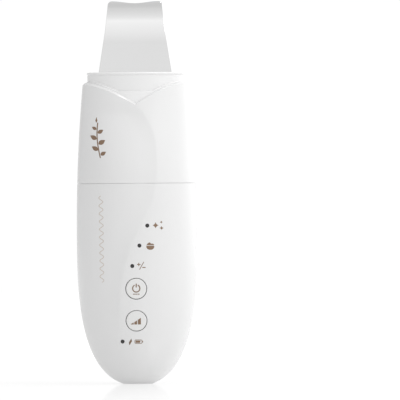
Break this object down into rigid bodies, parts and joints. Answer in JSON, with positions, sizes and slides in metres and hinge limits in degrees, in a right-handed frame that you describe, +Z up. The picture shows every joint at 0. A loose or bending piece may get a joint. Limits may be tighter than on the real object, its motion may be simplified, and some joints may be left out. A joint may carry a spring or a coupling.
{
  "type": "skin scrubber",
  "caption": "Handheld ultrasonic skin scrubber: round tapering white handle with buttons and a twist-lock head that carries a bent steel spatula blade.",
  "frame": {"origin": "centre of the flat base, on the surface it stands on", "axes": "+Z up the body to the blade, -Y the front with the buttons, +X to the right seen from the front; the blade's tip leans towards +Y"},
  "size_m": [0.0526, 0.0525, 0.1678],
  "materials": {
    "shell_white": "smooth satin-gloss white",
    "nozzle_white": "smooth white",
    "coupling_white": "moulded white",
    "button_white": "smooth white",
    "blade_steel": "fine satin, polished at the bend",
    "plate_steel": "satin plated",
    "screw_steel": "machined",
    "port_steel": "stamped",
    "switch_metal": "stamped",
    "horn_aluminium": "turned",
    "piezo_ceramic": "fired ceramic",
    "contact_brass": "gold flashed",
    "silicone_grey": "matt",
    "silicone_clear": "matt, milky",
    "foam_grey": "closed-cell foam",
    "inner_plastic": "moulded",
    "lead_rubber": "extruded insulation",
    "board_green": "solder mask",
    "chip_black": "moulded",
    "led_white": "clear",
    "window_black": "tinted, polished",
    "battery_wrap": "shrink film"
  },
  "bodies": {
    "handle": {"front_shell": "shell_white", "rear_shell": "shell_white", "hand_electrode": "plate_steel", "coupling_cup": "coupling_white", "cup_screws": "screw_steel", "chassis": "inner_plastic", "main_board": "board_green", "board_parts": "chip_black", "board_screws": "screw_steel", "button_switches": "switch_metal", "power_dome": "silicone_clear", "intensity_dome": "silicone_clear", "status_leds": "led_white", "status_windows": "window_black", "pin_block": "inner_plastic", "contact_pins": "contact_brass", "pin_leads": "lead_rubber", "battery_cell": "battery_wrap", "battery_tabs": "contact_brass", "battery_cushions": "foam_grey", "battery_leads": "lead_rubber", "charging_socket": "port_steel", "socket_tongue": "chip_black", "charge_board": "board_green", "charge_leads": "lead_rubber", "electrode_lead": "lead_rubber"},
    "power_key": {"power_button": "button_white"},
    "intensity_key": {"intensity_button": "button_white"},
    "seal": {"seal_ring": "silicone_grey"},
    "head": {"head_shell": "shell_white", "nozzle_collar": "nozzle_white", "nozzle_cap": "nozzle_white", "blade_seal": "silicone_clear", "blade": "blade_steel", "blade_screws": "screw_steel", "transducer_horn": "horn_aluminium", "transducer_bolt": "screw_steel", "piezo_rings": "piezo_ceramic", "electrode_shims": "contact_brass", "backing_mass": "screw_steel", "isolation_rings": "silicone_grey", "transducer_carrier": "inner_plastic", "transducer_clamp": "inner_plastic", "clamp_screws": "screw_steel", "head_leads": "lead_rubber", "coupling_skirt": "coupling_white", "head_screws": "screw_steel", "contact_board": "board_green", "contact_pads": "contact_brass"}
  },
  "joints": [
    {"name": "power_press", "type": "slide", "parent": "handle", "child": "power_key", "axis": [0, 0.9978, 0.0665], "range_m": [0, 0.0005], "stiffness_N_per_m": 600, "springref_m": -0.0008, "deforming": ["power_dome"]},
    {"name": "intensity_press", "type": "slide", "parent": "handle", "child": "intensity_key", "axis": [0, 0.9829, 0.184], "range_m": [0, 0.0005], "stiffness_N_per_m": 600, "springref_m": -0.0008, "deforming": ["intensity_dome"]},
    {"name": "head_pull", "type": "slide", "parent": "handle", "child": "seal", "axis": [0, 0, 1], "range_m": [0, 0.024]},
    {"name": "head_twist", "type": "hinge", "parent": "seal", "child": "head", "pos_m": [0, 0, 0.0854], "axis": [0, 0, 1], "range_deg": [0, 8]}
  ]
}
